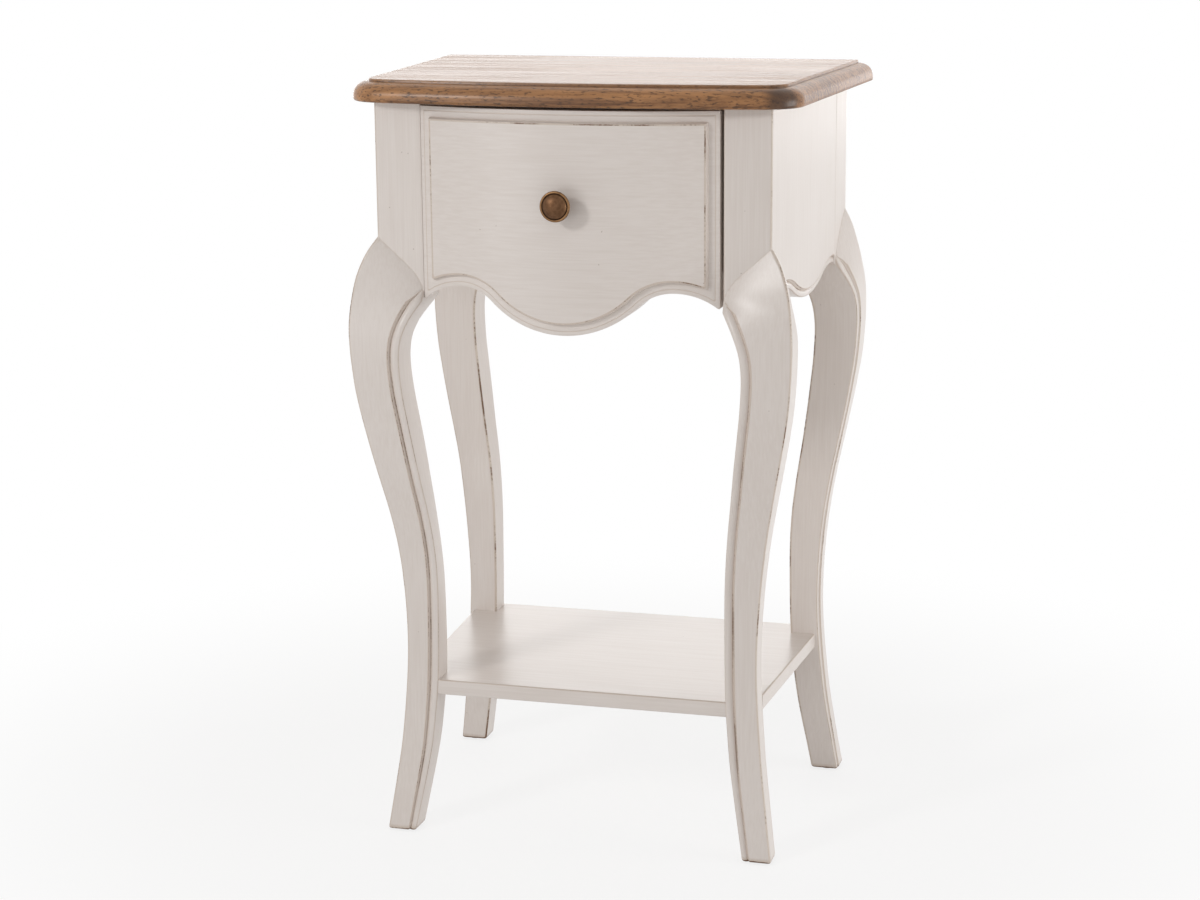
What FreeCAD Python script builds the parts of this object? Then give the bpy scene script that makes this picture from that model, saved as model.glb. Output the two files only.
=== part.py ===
import FreeCAD, Part
import math
import os

import Sketcher

# Driving sizes in millimetres, one sheet cell each
SIZES = {
    "height": 750.0,
    "front_setback": 128.5,
    "rear_setback": 169.5,
    "front_width": 384.0,
    "case_flare": 31.0,
    "case_height": 180.0,
    "post_width": 46.0,
    "shoulder_rise": 55.0,
    "knee_reach": 22.0,
    "glide_height": 1.5,
    "glide_radius": 9.0,
    "top_thickness": 21.0,
    "top_step": 2.5,
    "top_quirk": 0.5,
    "top_corner_radius": 38.0,
    "top_bow": 20.0,
    "top_front_overhang": 10.5,
    "top_side_overhang": 25.0,
    "top_rear_overhang": 4.0,
    "apron_thickness": 16.0,
    "apron_setback": 1.0,
    "apron_peak_rise": 5.5,
    "apron_lobe_depth": 21.5,
    "apron_end_drop": 2.0,
    "back_thickness": 15.0,
    "back_setback": 8.0,
    "back_rise": 7.0,
    "rail_height": 18.0,
    "rail_rise": 25.0,
    "rail_clearance": 2.0,
    "kicker_height": 22.0,
    "drawer_gap": 2.0,
    "drawer_top_gap": 3.0,
    "drawer_front_edge": 18.0,
    "drawer_bow": 24.0,
    "drawer_corner_drop": 8.0,
    "drawer_peak_rise": 16.5,
    "drawer_lobe_depth": 41.5,
    "box_inset": 8.0,
    "box_thickness": 12.0,
    "box_running_gap": 0.4,
    "box_top_gap": 2.0,
    "box_back_gap": 6.5,
    "box_back_drop": 12.0,
    "bottom_thickness": 5.0,
    "bottom_rise": 7.0,
    "groove_depth": 5.0,
    "groove_clearance": 0.2,
    "runner_ledge": 24.0,
    "runner_lip_height": 20.0,
    "guide_gap": 0.6,
    "stop_gap": 0.3,
    "stop_width": 30.0,
    "shelf_height": 155.5,
    "shelf_thickness": 15.0,
    "shelf_front_inset": 15.0,
    "shelf_rear_inset": 10.0,
    "shelf_side_inset": 17.5,
    "shelf_seat_gap": 0.6,
    "dowel_radius": 4.0,
    "dowel_length": 36.0,
    "box_dowel_radius": 3.0,
    "box_dowel_length": 24.0,
    "dowel_clearance": 0.1,
    "dowel_end_gap": 0.5,
    "screw_radius": 2.0,
    "screw_head_radius": 4.0,
    "screw_head_height": 2.5,
    "top_screw_bite": 12.0,
    "knob_radius": 14.5,
    "knob_length": 28.0,
    "knob_screw_bite": 10.0,
    "cut_overrun": 20.0,
}

# Leg stations as shares of the curved leg's height, and of the shoulder's rise above it
LEG_HEIGHT_SHARES = (0, 0.048, 0.103, 0.213, 0.28, 0.36, 0.488, 0.598, 0.708, 0.818, 0.892, 0.938, 0.974, 1)
SHOULDER_HEIGHT_SHARES = (0.3, 0.68, 1)

# Offsets from the post at each station, as shares of the knee's reach:
# the outer arris, the inner end of each outer face, and the inner edge
FULL_OUTER_SHARES = (
    0.23, 0.02, -0.2, -0.48, -0.58, -0.64, -0.59, -0.18, 0.4, 0.84, 1, 1, 0.89, 0.79, 0.66, 0.34, -0.05)
FULL_FACE_SHARES = (
    0.23, 0.02, -0.2, -0.48, -0.58, -0.64, -0.59, -0.18, 0.4, 0.82, 0.97, 0.91, 0.41, 0, -0.1, -0.27, -0.64)
FULL_INNER_SHARES = (
    1.05, 0.8, 0.55, 0.19, 0.07, 0.01, 0, 0.23, 0.59, 0.94, 1.02, 0.77, 0.39, 0.15, 0.2, 0.25, 0.25)
HALF_OUTER_SHARES = (
    0.14, 0, -0.18, -0.45, -0.53, -0.57, -0.5, -0.09, 0.25, 0.43, 0.5, 0.5, 0.41, 0.32, 0.25, 0.14, -0.05)
HALF_FACE_SHARES = (
    0.14, 0, -0.18, -0.45, -0.53, -0.57, -0.5, -0.09, 0.25, 0.42, 0.48, 0.45, 0.2, 0, -0.1, -0.27, -0.64)
HALF_INNER_SHARES = (
    1, 0.82, 0.59, 0.27, 0.18, 0.11, 0.05, 0.3, 0.43, 0.5, 0.5, 0.39, 0.22, 0.15, 0.2, 0.25, 0.25)

# Places along scallops, joints and rows of fasteners
DRAWER_PEAK_SHARE = 0.71
DRAWER_TURN_SHARE = 0.3
APRON_PEAK_SHARE = 0.92
APRON_TURN_SHARE = 0.4
DOWEL_HEIGHT_SHARES = (0.24, 0.76)
TOP_SCREW_SHARES = (0.15, 0.5, 0.85)
STOP_HEIGHT_SHARES = (0.2, 0.5)
STOP_PLACE_SHARE = 0.6
TOP_MOULDING_SHARE = 0.78
KNOB_HEIGHT_SHARE = 0.508
KNOB_LENGTH_SHARES = (0, 0, 0.08, 0.2, 0.5, 0.62, 0.72, 0.8, 0.86, 0.9, 0.93, 0.98, 1)
KNOB_RADIUS_SHARES = (0, 0.5, 0.5, 0.36, 0.34, 0.55, 0.95, 1, 0.97, 0.86, 0.8, 0.5, 0)

ALONG_X = FreeCAD.Rotation(FreeCAD.Vector(0, 1, 0), 90)
ALONG_Y = FreeCAD.Rotation(FreeCAD.Vector(1, 0, 0), -90)
ALONG_Z = FreeCAD.Rotation()


class Size:
    """A length or ratio: its value now, and the sheet expression that gives it."""

    def __init__(self, value, text):
        self.value = value
        self.text = text

    def __add__(self, other):
        other = sized(other)
        return Size(self.value + other.value, f"({self.text} + {other.text})")

    def __sub__(self, other):
        other = sized(other)
        return Size(self.value - other.value, f"({self.text} - {other.text})")

    def __mul__(self, other):
        other = sized(other)
        return Size(self.value * other.value, f"({self.text} * {other.text})")

    def __truediv__(self, other):
        other = sized(other)
        return Size(self.value / other.value, f"({self.text} / {other.text})")

    def __neg__(self):
        return Size(-self.value, f"(-{self.text})")

    __radd__ = __add__
    __rmul__ = __mul__


def sized(item):
    return item if isinstance(item, Size) else Size(item, f"({item})")


def make_sheet():
    sheet = doc.addObject("Spreadsheet::Sheet", "Sizes")
    for row, (name, value) in enumerate(SIZES.items(), start=1):
        sheet.set(f"A{row}", name)
        sheet.set(f"B{row}", str(value))
        sheet.setAlias(f"B{row}", name)
    doc.recompute()
    return {name: Size(sheet.get(name), f"Sizes.{name}") for name in SIZES}


# Sketches and solids

def bind(item, prop, size):
    item.setExpression(prop, size.text)


def new_body(label):
    body = doc.addObject("PartDesign::Body", label)
    body.Label = label
    return body


def arc_between(start, end, radius, turn):
    """The minor arc from start to end that turns left or right."""
    chord = end - start
    reach = math.sqrt(radius ** 2 - chord.Length ** 2 / 4)
    aside = FreeCAD.Vector(-chord.y, chord.x, 0).normalize() * reach
    centre = (start + end) / 2 + (aside if turn == "left" else -aside)
    first, last = (start, end) if turn == "left" else (end, start)
    angles = [math.atan2(point.y - centre.y, point.x - centre.x) for point in (first, last)]
    circle = Part.Circle(centre, FreeCAD.Vector(0, 0, 1), radius)
    return Part.ArcOfCircle(circle, angles[0], angles[1])


def outline(body, name, plane, offset, points, arcs=None):
    """A closed sketch through points, each bound to the sheet. arcs maps an edge to its radius and turn."""
    arcs = arcs or {}
    sketch = body.newObject("Sketcher::SketchObject", name)
    role = next(item for item in body.Origin.OriginFeatures if item.Role == plane)
    sketch.AttachmentSupport = [(role, "")]
    sketch.MapMode = "FlatFace"
    bind(sketch, "AttachmentOffset.Base.z", offset)
    places = [FreeCAD.Vector(sized(u).value, sized(v).value, 0) for u, v in points]
    count = len(points)
    ends = []
    for edge in range(count):
        start, end = places[edge], places[(edge + 1) % count]
        if edge in arcs:
            radius, turn = arcs[edge]
            sketch.addGeometry(arc_between(start, end, radius.value, turn))
            ends.append((1, 2) if turn == "left" else (2, 1))
        else:
            sketch.addGeometry(Part.LineSegment(start, end))
            ends.append((1, 2))
    for edge in range(count):
        after = (edge + 1) % count
        sketch.addConstraint(Sketcher.Constraint("Coincident", edge, ends[edge][1], after, ends[after][0]))
    for edge, point in enumerate(points):
        for axis, size in zip("XY", point):
            spot = (-1, 1, edge, ends[edge][0])
            fix_size(sketch, f"Distance{axis}", spot, sized(size), f"{axis}{edge}_place")
    for edge, (radius, turn) in arcs.items():
        fix_size(sketch, "Radius", (edge,), radius, f"radius{edge}_size")
    return sketch


def fix_size(sketch, kind, where, size, name):
    index = sketch.addConstraint(Sketcher.Constraint(kind, *where, size.value))
    sketch.renameConstraint(index, name)
    bind(sketch, f"Constraints.{name}", size)


def pad(body, sketch, length):
    feature = body.newObject("PartDesign::Pad", sketch.Name + "_pad")
    feature.Profile = sketch
    bind(feature, "Length", length)
    doc.recompute()
    return feature


def pocket(body, sketch, length):
    before = body.Shape.Volume
    feature = body.newObject("PartDesign::Pocket", sketch.Name + "_pocket")
    feature.Profile = sketch
    bind(feature, "Length", length)
    doc.recompute()
    if not body.Shape.Volume < before:
        raise RuntimeError(f"{feature.Name} cuts nothing")
    return feature


def fillet(body, base, edges, radius):
    feature = body.newObject("PartDesign::Fillet", base.Name + "_fillet")
    feature.Base = (base, edges)
    bind(feature, "Radius", radius)
    doc.recompute()
    return feature


def slab(label, corners, low, high):
    """A flat board: a plan of corners, from one height to another."""
    body = new_body(label)
    pad(body, outline(body, label + "_plan", "XY_Plane", low, corners), high - low)
    return body


def place(item, position):
    for axis, size in zip("xyz", position):
        bind(item, f"Placement.Base.{axis}", sized(size))


def block(label, low, high):
    box = doc.addObject("Part::Box", label)
    box.Label = label
    for prop, start, end in zip(("Length", "Width", "Height"), low, high):
        bind(box, prop, end - start)
    place(box, low)
    return box


def cylinder(label, rotation, position, radius, length):
    rod = doc.addObject("Part::Cylinder", label)
    rod.Placement = FreeCAD.Placement(FreeCAD.Vector(), rotation)
    bind(rod, "Radius", radius)
    bind(rod, "Height", length)
    place(rod, position)
    return rod


def group(label, members):
    compound = doc.addObject("Part::Compound", label)
    compound.Label = label
    compound.Links = members
    return compound


def fused(label, base, tool):
    fuse = doc.addObject("Part::Fuse", label)
    fuse.Label = label
    fuse.Base = base
    fuse.Tool = tool
    return fuse


def mirrored(label, source):
    twin = doc.addObject("Part::Mirroring", label)
    twin.Label = label
    twin.Source = source
    twin.Normal = FreeCAD.Vector(1, 0, 0)
    return twin


def drilled(label, base, holes):
    """The base with the holes cut, under the label; the base takes a working name."""
    base.Label = label + "_blank"
    cut = doc.addObject("Part::Cut", label + "_cut")
    cut.Label = label
    cut.Base = base
    cut.Tool = holes
    return cut


def pegs(label, rotation_and_centres, radius, length):
    """Round pegs about their joints, and the slightly larger holes that they sit in."""
    rods = []
    holes = []
    wide = radius + sizes["dowel_clearance"]
    spare = sizes["dowel_end_gap"]
    for index, (rotation, centre) in enumerate(rotation_and_centres):
        axis = rotation.multVec(FreeCAD.Vector(0, 0, 1))
        base = [value - length / 2 * share for value, share in zip(map(sized, centre), axis_shares(axis))]
        deep = [value - spare * share for value, share in zip(base, axis_shares(axis))]
        rods.append(cylinder(f"{label}_{index}", rotation, base, radius, length))
        holes.append(cylinder(f"{label}_hole_{index}", rotation, deep, wide, length + spare * 2))
    return group(label, rods), group(label + "_holes", holes)


def axis_shares(axis):
    return [round(value) for value in axis]


# Shared lines of the case

def outer_x(y):
    """Half the width across the posts at a depth: the case widens towards the back."""
    depth = sizes["rear_setback"] + sizes["front_setback"]
    flare = sizes["case_flare"] / depth / 2
    return sizes["front_width"] / 2 + flare * (y + sizes["front_setback"])


def inner_x(y):
    return outer_x(y) - sizes["post_width"]


def mirrored_plan(right_side):
    """A closed plan from the points of its right side, front to back."""
    return right_side + [(-x, y) for x, y in reversed(right_side)]


def reverse_curve(half, peak_share, turn_share, lobe_depth, end_drop, peak_height):
    """A scalloped edge from left to right: its points, and its arcs by edge number."""
    peak = half * peak_share
    total = (peak * peak + lobe_depth * lobe_depth) / (lobe_depth * 2)
    run = half - peak
    end_radius = (run * run + end_drop * end_drop) / (end_drop * 2)
    turn = (peak * (1 - turn_share), peak_height - lobe_depth * turn_share)
    right = [turn, (peak, peak_height), (half, peak_height - end_drop)]
    points = [(-x, z) for x, z in reversed(right)] + right
    small = (total * turn_share, "right")
    large = (total * (1 - turn_share), "left")
    end = (end_radius, "right")
    return points, {0: end, 1: small, 2: large, 3: small, 4: end}


# Legs

def station_heights():
    foot = sizes["glide_height"]
    reach = post_foot - foot
    lower = [foot + reach * share for share in LEG_HEIGHT_SHARES]
    upper = [post_foot + sizes["shoulder_rise"] * share for share in SHOULDER_HEIGHT_SHARES]
    return lower + upper


def leg_corners(station, y_post, outward, curve):
    """Plan corners of a right leg at a station: outer arris, side, inside and face corners."""
    knee = sizes["knee_reach"]
    side = [knee * shares[station] for shares in (FULL_OUTER_SHARES, FULL_FACE_SHARES, FULL_INNER_SHARES)]
    deep = [knee * shares[station] for shares in curve]
    y_out = y_post + deep[0] * outward
    y_face = y_post + deep[1] * outward
    y_in = y_post - (sizes["post_width"] - deep[2]) * outward
    return [
        (outer_x(y_out) + side[0], y_out),
        (outer_x(y_in) + side[1], y_in),
        (inner_x(y_in) + side[2], y_in),
        (inner_x(y_face) + side[2], y_face),
    ]


def make_leg(label, y_post, outward, curve):
    """A right leg: the curved leg runs up inside its square post, so the knee leaves a shoulder."""
    body = new_body(label)
    sections = []
    for station, height in enumerate(station_heights()):
        corners = leg_corners(station, y_post, outward, curve)
        sections.append(outline(body, f"{label}_{station}", "XY_Plane", height, corners))
    loft = body.newObject("PartDesign::AdditiveLoft", label + "_loft")
    loft.Profile = sections[0]
    loft.Sections = sections[1:]
    doc.recompute()
    y_in = y_post - sizes["post_width"] * outward
    post = [(outer_x(y), y) for y in (y_post, y_in)] + [(inner_x(y), y) for y in (y_in, y_post)]
    pad(body, outline(body, label + "_post", "XY_Plane", post_foot, post), sizes["case_height"])
    return body


def foot_centre(y_post, outward, curve):
    corners = leg_corners(0, y_post, outward, curve)
    return [(corners[0][axis] + corners[2][axis]) / 2 for axis in (0, 1)]


def make_glides():
    pads = []
    for name, y_post, outward, curve in LEG_KINDS:
        x, y = foot_centre(y_post, outward, curve)
        for side, x_side in (("left", -x), ("right", x)):
            spot = (x_side, y, sized(0))
            label = f"glide_{name}_{side}"
            pads.append(cylinder(label, ALONG_Z, spot, sizes["glide_radius"], sizes["glide_height"]))
    return group("foot_glides", pads)


# Case

def make_side_apron(label):
    outer = sizes["apron_setback"]
    inner = outer + sizes["apron_thickness"]
    corners = [(outer_x(y) - outer, y) for y in (posts_front, posts_rear)]
    corners += [(outer_x(y) - inner, y) for y in (posts_rear, posts_front)]
    peak = post_foot + sizes["apron_peak_rise"]
    low = peak - sizes["apron_lobe_depth"]
    body = slab(label, corners, low, under_top)
    half = (posts_rear - posts_front) / 2
    middle = (posts_rear + posts_front) / 2
    edge, arcs = reverse_curve(
        half, APRON_PEAK_SHARE, APRON_TURN_SHARE, sizes["apron_lobe_depth"], sizes["apron_end_drop"], peak)
    spare = sizes["cut_overrun"]
    below = [(half, low - spare), (-half, low - spare)]
    points = [(middle + run, z) for run, z in edge + below]
    outside = outer_x(posts_rear) + spare
    scallop = outline(body, label + "_scallop", "YZ_Plane", outside, points, arcs)
    pocket(body, scallop, outside)
    return body


def make_back_panel(label):
    plan = mirrored_plan([(inner_x(back_front), back_front), (inner_x(back_rear), back_rear)])
    return slab(label, plan, post_foot + sizes["back_rise"], under_top)


def make_rail(label, low):
    plan = mirrored_plan([(inner_x(rail_front), rail_front), (inner_x(posts_front), posts_front)])
    return slab(label, plan, low, low + sizes["rail_height"])


def make_runner(label):
    """A right runner: a ledge under the drawer's side, with a lip that guides it."""
    body = new_body(label)
    lip = box_half + sizes["guide_gap"]
    out = inner_x(-sizes["front_setback"])
    low = rail_lows[0]
    profile = [
        (out - sizes["runner_ledge"], low),
        (out, low),
        (out, rail_top + sizes["runner_lip_height"]),
        (lip, rail_top + sizes["runner_lip_height"]),
        (lip, rail_top),
        (out - sizes["runner_ledge"], rail_top),
    ]
    pad(body, outline(body, label + "_profile", "XZ_Plane", -back_front, profile), back_front - posts_front)
    return body


def make_kicker(label):
    inner = box_half - sizes["box_thickness"]
    edge = sizes["apron_setback"] + sizes["apron_thickness"]
    corners = [(inner, posts_front), (outer_x(posts_front) - edge, posts_front)]
    corners += [(outer_x(posts_rear) - edge, posts_rear), (inner, posts_rear)]
    return slab(label, corners, under_top - sizes["kicker_height"], under_top)


def make_stops():
    stops = []
    low, high = [rail_top + (box_top - rail_top) * share for share in STOP_HEIGHT_SHARES]
    middle = box_half * STOP_PLACE_SHARE
    half = sizes["stop_width"] / 2
    for side in (-1, 1):
        start = (middle * side - half, box_rear + sizes["stop_gap"], low)
        end = (middle * side + half, back_front, high)
        stops.append(block(f"stop_{side + 1}", start, end))
    return group("drawer_stops", stops)


def top_plan(inset):
    """The top's plan: straight back and splayed sides, with a bowed front edge."""
    front = inset - sizes["front_setback"] - sizes["top_front_overhang"]
    back = sizes["rear_setback"] + sizes["top_rear_overhang"]
    side = sizes["top_side_overhang"] - inset
    half = outer_x(front) + side
    bow = sizes["top_bow"]
    points = [(-half, front), (half, front), (outer_x(back) + side, back), (-outer_x(back) - side, back)]
    radius = (half * half + bow * bow) / (bow * 2)
    return points, {0: (radius, "left")}


def front_uprights(feature, low, high):
    """Names of the upright edges at the front corners between two heights."""
    names = []
    for number, edge in enumerate(feature.Shape.Edges, start=1):
        ends = [vertex.Point for vertex in edge.Vertexes]
        heights = sorted(point.z for point in ends)
        upright = abs(heights[0] - low.value) < NEAR and abs(heights[-1] - high.value) < NEAR
        if upright and ends[0].y < 0:
            names.append(f"Edge{number}")
    return names


def moulded_edges(feature, height, back):
    """Names of the upper edges at the front and sides."""
    names = []
    for number, edge in enumerate(feature.Shape.Edges, start=1):
        box = edge.BoundBox
        level = abs(box.ZMin - height.value) < NEAR and abs(box.ZMax - height.value) < NEAR
        at_back = abs(box.YMin - back.value) < NEAR
        if level and not at_back:
            names.append(f"Edge{number}")
    return names


def rounded_board(label, inset, low, high):
    """A board on the top's plan with its front corners rounded."""
    body = new_body(label)
    points, arcs = top_plan(inset)
    board = pad(body, outline(body, label + "_plan", "XY_Plane", low, points, arcs), high - low)
    fillet(body, board, front_uprights(board, low, high), sizes["top_corner_radius"] - inset)
    return body


def make_top(label):
    """A moulded lower board under a thin plate that stands back from the moulding."""
    step = sizes["height"] - sizes["top_step"]
    lower = rounded_board("top_lower", sized(0), under_top, step)
    back = sizes["rear_setback"] + sizes["top_rear_overhang"]
    moulding = (step - under_top) * TOP_MOULDING_SHARE
    fillet(lower, lower.Tip, moulded_edges(lower.Tip, step, back), moulding)
    upper = rounded_board("top_upper", moulding + sizes["top_quirk"], step, sizes["height"])
    return fused(label, lower, upper)


def seat_share(shares, height):
    """The inner curve's share at a height, on straight lines between the stations."""
    levels = [size.value for size in station_heights()]
    for low, high, start, end in zip(levels, levels[1:], shares, shares[1:]):
        if low <= height <= high:
            return start + (end - start) * (height - low) / (high - low)
    raise ValueError("the shelf lies outside the legs")


def make_shelf(label):
    """A board notched round the four legs."""
    top = sizes["shelf_height"]
    low = top - sizes["shelf_thickness"]
    gap = sizes["shelf_seat_gap"]
    side_share = min(seat_share(FULL_INNER_SHARES, size.value) for size in (low, top))
    back_share = min(seat_share(HALF_INNER_SHARES, size.value) for size in (low, top))
    seat = sizes["knee_reach"] * side_share - gap
    back_seat = sizes["knee_reach"] * back_share - gap
    front = sizes["shelf_front_inset"] - sizes["front_setback"]
    back = sizes["rear_setback"] - sizes["shelf_rear_inset"]
    front_notch = posts_front - seat
    back_notch = posts_rear + back_seat
    right = [(inner_x(front) + seat, front), (inner_x(front_notch) + seat, front_notch)]
    right += [(outer_x(y) - sizes["shelf_side_inset"], y) for y in (front_notch, back_notch)]
    right += [(inner_x(back_notch) + seat, back_notch), (inner_x(back) + seat, back)]
    return slab(label, mirrored_plan(right), low, top)


# Drawer

def make_drawer_front(label):
    """A bowed front with a flat back and a scalloped lower edge."""
    body = new_body(label)
    corner = post_foot - sizes["drawer_corner_drop"]
    rise = sizes["drawer_peak_rise"]
    edge, arcs = reverse_curve(
        front_half, DRAWER_PEAK_SHARE, DRAWER_TURN_SHARE, sizes["drawer_lobe_depth"], rise, corner + rise)
    top = under_top - sizes["drawer_top_gap"]
    points = edge + [(front_half, top), (-front_half, top)]
    bow = sizes["drawer_bow"]
    depth = sizes["drawer_front_edge"] + bow
    pad(body, outline(body, label + "_face", "XZ_Plane", -front_back, points, arcs), depth)
    spare = sizes["cut_overrun"]
    ends = -sizes["front_setback"]
    ahead = ends - bow - spare
    wide = front_half + spare
    plan = [(-front_half, ends), (front_half, ends), (wide, ends)]
    plan += [(wide, ahead), (-wide, ahead), (-wide, ends)]
    radius = (front_half * front_half + bow * bow) / (bow * 2)
    bow_cut = outline(body, label + "_bow", "XY_Plane", top + spare, plan, {0: (radius, "left")})
    pocket(body, bow_cut, top)
    return body


def make_drawer_side(label):
    """A right side of the box, grooved for the bottom."""
    body = new_body(label)
    inner = box_half - sizes["box_thickness"]
    groove = inner + sizes["groove_depth"]
    slot_low = box_low + sizes["bottom_rise"]
    slot_high = slot_low + sizes["bottom_thickness"] + sizes["groove_clearance"]
    profile = [
        (inner, box_low),
        (box_half, box_low),
        (box_half, box_top),
        (inner, box_top),
        (inner, slot_high),
        (groove, slot_high),
        (groove, slot_low),
        (inner, slot_low),
    ]
    pad(body, outline(body, label + "_profile", "XZ_Plane", -box_rear, profile), box_rear - front_back)
    return body


def make_drawer_bottom(label):
    reach = box_half - sizes["box_thickness"] + sizes["groove_depth"] - sizes["groove_clearance"]
    low = box_low + sizes["bottom_rise"]
    return block(label, (-reach, front_back, low), (reach, box_rear, low + sizes["bottom_thickness"]))


def make_drawer_back(label):
    inner = box_half - sizes["box_thickness"]
    low = box_low + sizes["bottom_rise"] + sizes["bottom_thickness"]
    start = (-inner, box_rear - sizes["box_thickness"], low)
    return block(label, start, (inner, box_rear, box_top - sizes["box_back_drop"]))


def make_knob(label):
    """A turned knob: its foot, slim neck, rim and low dome, turned about the axis of its screw."""
    body = new_body(label)
    lengths = [sizes["knob_length"] * share for share in KNOB_LENGTH_SHARES]
    radii = [sizes["knob_radius"] * share for share in KNOB_RADIUS_SHARES]
    face = -sizes["front_setback"] - sizes["drawer_bow"]
    profile = [(face - run, radius) for run, radius in zip(lengths, radii)]
    sketch = outline(body, label + "_profile", "YZ_Plane", sized(0), profile)
    turned = body.newObject("PartDesign::Revolution", label + "_turned")
    turned.Profile = sketch
    turned.ReferenceAxis = (sketch, ["H_Axis"])
    place(body, (0, 0, knob_height))
    doc.recompute()
    return body


def make_knob_screw(label):
    """A screw from inside the drawer, and the hole that it passes through."""
    reach = sizes["drawer_front_edge"] + sizes["drawer_bow"] + sizes["knob_screw_bite"]
    start = front_back - reach
    rim = sizes["screw_radius"]
    shank = cylinder(label + "_shank", ALONG_Y, (0, start, knob_height), rim, reach)
    head_at = (0, front_back, knob_height)
    head_size = (sizes["screw_head_radius"], sizes["screw_head_height"])
    screw = fused(label, shank, cylinder(label + "_head", ALONG_Y, head_at, *head_size))
    spare = sizes["dowel_end_gap"]
    hole_at = (0, start - spare, knob_height)
    wide = rim + sizes["dowel_clearance"]
    return screw, cylinder(label + "_hole", ALONG_Y, hole_at, wide, reach + spare)


def make_top_screws(label):
    """Screws up through the kickers into the top, and their holes."""
    screws = []
    holes = []
    low = under_top - sizes["kicker_height"]
    length = sizes["kicker_height"] + sizes["top_screw_bite"]
    depth = length + sizes["dowel_end_gap"]
    head_size = (sizes["screw_head_radius"], sizes["screw_head_height"])
    rim = sizes["screw_radius"]
    wide = rim + sizes["dowel_clearance"]
    inner = box_half - sizes["box_thickness"]
    edge = sizes["apron_setback"] + sizes["apron_thickness"]
    for share in TOP_SCREW_SHARES:
        y = posts_front + (posts_rear - posts_front) * share
        x = (inner + outer_x(y) - edge) / 2
        for side, x_side in (("left", -x), ("right", x)):
            name = f"{label}_{side}_{len(screws)}"
            shank = cylinder(name + "_shank", ALONG_Z, (x_side, y, low), rim, length)
            head_at = (x_side, y, low - head_size[1])
            head = cylinder(name + "_head", ALONG_Z, head_at, *head_size)
            screws.append(fused(name, shank, head))
            holes.append(cylinder(name + "_hole", ALONG_Z, (x_side, y, low), wide, depth))
    return group(label, screws), group(label + "_holes", holes)


# Dowels

def frame_joints():
    """Where aprons, back panel and rails meet the posts."""
    joints = []
    apron_line = sizes["apron_setback"] + sizes["apron_thickness"] / 2
    back_middle = (back_front + back_rear) / 2
    rail_middle = (rail_front + posts_front) / 2
    heights = [post_foot + sizes["case_height"] * share for share in DOWEL_HEIGHT_SHARES]
    rail_heights = [height + sizes["rail_height"] / 2 for height in rail_lows]
    for side in (-1, 1):
        for height in heights:
            for y in (posts_front, posts_rear):
                joints.append((ALONG_Y, ((outer_x(y) - apron_line) * side, y, height)))
            joints.append((ALONG_X, (inner_x(back_middle) * side, back_middle, height)))
        for height in rail_heights:
            joints.append((ALONG_X, (inner_x(rail_middle) * side, rail_middle, height)))
    return joints


def shelf_joints():
    height = sizes["shelf_height"] - sizes["shelf_thickness"] / 2
    front = (posts_front + sizes["shelf_front_inset"] - sizes["front_setback"]) / 2
    back = (posts_rear + sizes["rear_setback"] - sizes["shelf_rear_inset"]) / 2
    return [(ALONG_X, (inner_x(y) * side, y, height)) for y in (front, back) for side in (-1, 1)]


def box_joints():
    """Where the drawer's sides meet its front and its back."""
    joints = []
    middle = box_half - sizes["box_thickness"] / 2
    back_line = box_rear - sizes["box_thickness"] / 2
    for side in (-1, 1):
        for share in DOWEL_HEIGHT_SHARES:
            height = box_low + (box_top - box_low) * share
            joints.append((ALONG_Y, (middle * side, front_back, height)))
            joints.append((ALONG_X, ((box_half - sizes["box_dowel_length"] / 2) * side, back_line, height)))
    return joints


doc = FreeCAD.newDocument("nightstand")
sizes = make_sheet()
NEAR = 0.01 * sizes["top_step"].value

# Lines and levels that several pieces share
under_top = sizes["height"] - sizes["top_thickness"]
post_foot = under_top - sizes["case_height"]
knob_height = post_foot + sizes["case_height"] * KNOB_HEIGHT_SHARE
posts_front = sizes["post_width"] - sizes["front_setback"]
posts_rear = sizes["rear_setback"] - sizes["post_width"]
back_rear = sizes["rear_setback"] - sizes["back_setback"]
back_front = back_rear - sizes["back_thickness"]
front_back = sizes["drawer_front_edge"] - sizes["front_setback"]
rail_front = front_back + sizes["rail_clearance"]
rail_lows = (post_foot + sizes["rail_rise"], under_top - sizes["rail_height"])
rail_top = rail_lows[0] + sizes["rail_height"]
front_half = inner_x(-sizes["front_setback"]) - sizes["drawer_gap"]
box_half = inner_x(-sizes["front_setback"]) - sizes["box_inset"]
box_low = rail_top + sizes["box_running_gap"]
box_top = under_top - sizes["kicker_height"] - sizes["box_top_gap"]
box_rear = back_front - sizes["box_back_gap"]

FULL_CURVE = (FULL_OUTER_SHARES, FULL_FACE_SHARES, FULL_INNER_SHARES)
HALF_CURVE = (HALF_OUTER_SHARES, HALF_FACE_SHARES, HALF_INNER_SHARES)
LEG_KINDS = (
    ("front", -sizes["front_setback"], -1, FULL_CURVE),
    ("rear", sizes["rear_setback"], 1, HALF_CURVE),
)

peg_size = (sizes["dowel_radius"], sizes["dowel_length"])
frame_dowels, frame_holes = pegs("frame_dowels", frame_joints(), *peg_size)
shelf_dowels, shelf_holes = pegs("shelf_dowels", shelf_joints(), *peg_size)
box_size = (sizes["box_dowel_radius"], sizes["box_dowel_length"])
drawer_dowels, drawer_holes = pegs("drawer_dowels", box_joints(), *box_size)
top_screws, top_holes = make_top_screws("top_screws")
knob_screw, knob_hole = make_knob_screw("knob_screw")

nodes = [frame_dowels, shelf_dowels, drawer_dowels, top_screws, knob_screw, make_glides(), make_stops()]

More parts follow.
